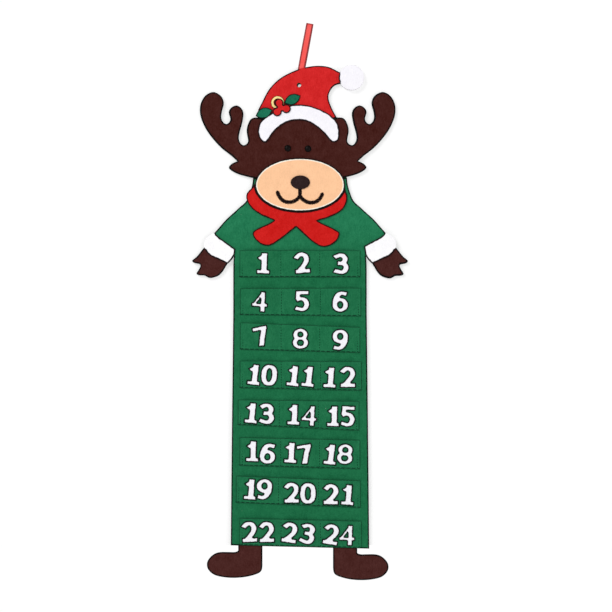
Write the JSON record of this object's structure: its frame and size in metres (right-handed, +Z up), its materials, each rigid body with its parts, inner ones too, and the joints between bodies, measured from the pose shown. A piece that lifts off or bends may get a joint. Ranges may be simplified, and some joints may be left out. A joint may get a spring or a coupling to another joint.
{
  "type": "advent calendar",
  "caption": "Hanging felt advent calendar cut as a reindeer in hat, scarf and shirt, with rows of open pockets numbered for the days and a ribbon loop.",
  "frame": {"origin": "where the hook bears, inside the top of the ribbon loop", "axes": "+Z up, the front with the pockets faces -Y, +X to the viewer's right; the back panel's wall side faces +Y"},
  "size_m": [0.3992, 0.0156, 1.0304],
  "materials": {
    "green_felt": "matte pressed felt",
    "brown_felt": "matte pressed felt",
    "red_felt": "matte pressed felt",
    "white_felt": "matte pressed felt",
    "peach_felt": "matte pressed felt",
    "gold_felt": "matte pressed felt",
    "leaf_felt": "matte pressed felt",
    "black_thread": "matte pressed felt and thread",
    "red_satin": "satin ribbon",
    "black_plastic": "glossy"
  },
  "bodies": {
    "ribbon": {"ribbon_loop": "red_satin"},
    "calendar": {"ribbon_ends": "red_satin", "back_panel": "green_felt", "shirt": "green_felt", "head": "brown_felt", "hat": "red_felt", "hand_left": "brown_felt", "hand_right": "brown_felt", "brim": "white_felt", "cuff_left": "white_felt", "cuff_right": "white_felt", "scarf": "red_felt", "muzzle": "peach_felt", "pompom": "white_felt", "holly_ring": "gold_felt", "holly_leaf_left": "leaf_felt", "holly_leaf_right": "leaf_felt", "holly_berries": "red_felt", "eye_left": "black_plastic", "eye_right": "black_plastic", "nose": "black_thread", "mouth": "black_thread", "leg_top_left": "brown_felt", "leg_top_right": "brown_felt", "pocket_strip_1": "green_felt", "pocket_strip_2": "green_felt", "pocket_strip_3": "green_felt", "pocket_strip_4": "green_felt", "pocket_strip_5": "green_felt", "pocket_strip_6": "green_felt", "pocket_strip_7": "green_felt", "pocket_strip_8": "green_felt", "number_01": "white_felt", "number_02": "white_felt", "number_03": "white_felt", "number_04": "white_felt", "number_05": "white_felt", "number_06": "white_felt", "number_07": "white_felt", "number_08": "white_felt", "number_09": "white_felt", "number_10": "white_felt", "number_11": "white_felt", "number_12": "white_felt", "number_13": "white_felt", "number_14": "white_felt", "number_15": "white_felt", "number_16": "white_felt", "number_17": "white_felt", "number_18": "white_felt", "number_19": "white_felt", "number_20": "white_felt", "number_21": "white_felt", "number_22": "white_felt", "number_23": "white_felt", "number_24": "white_felt"},
    "leg_left": {"foot_left": "brown_felt"},
    "leg_right": {"foot_right": "brown_felt"}
  },
  "joints": [
    {"name": "ribbon_fold", "type": "hinge", "parent": "ribbon", "child": "calendar", "pos_m": [-0.0152, 0, -0.0805], "axis": [1, 0, 0], "range_deg": [-60, 60]},
    {"name": "leg_left_fold", "type": "hinge", "parent": "calendar", "child": "leg_left", "pos_m": [-0.1104, 0, -0.96812], "axis": [1, 0, 0], "range_deg": [-75, 75]},
    {"name": "leg_right_fold", "type": "hinge", "parent": "calendar", "child": "leg_right", "pos_m": [0.065, 0, -0.97236], "axis": [1, 0, 0], "range_deg": [-75, 75]}
  ]
}
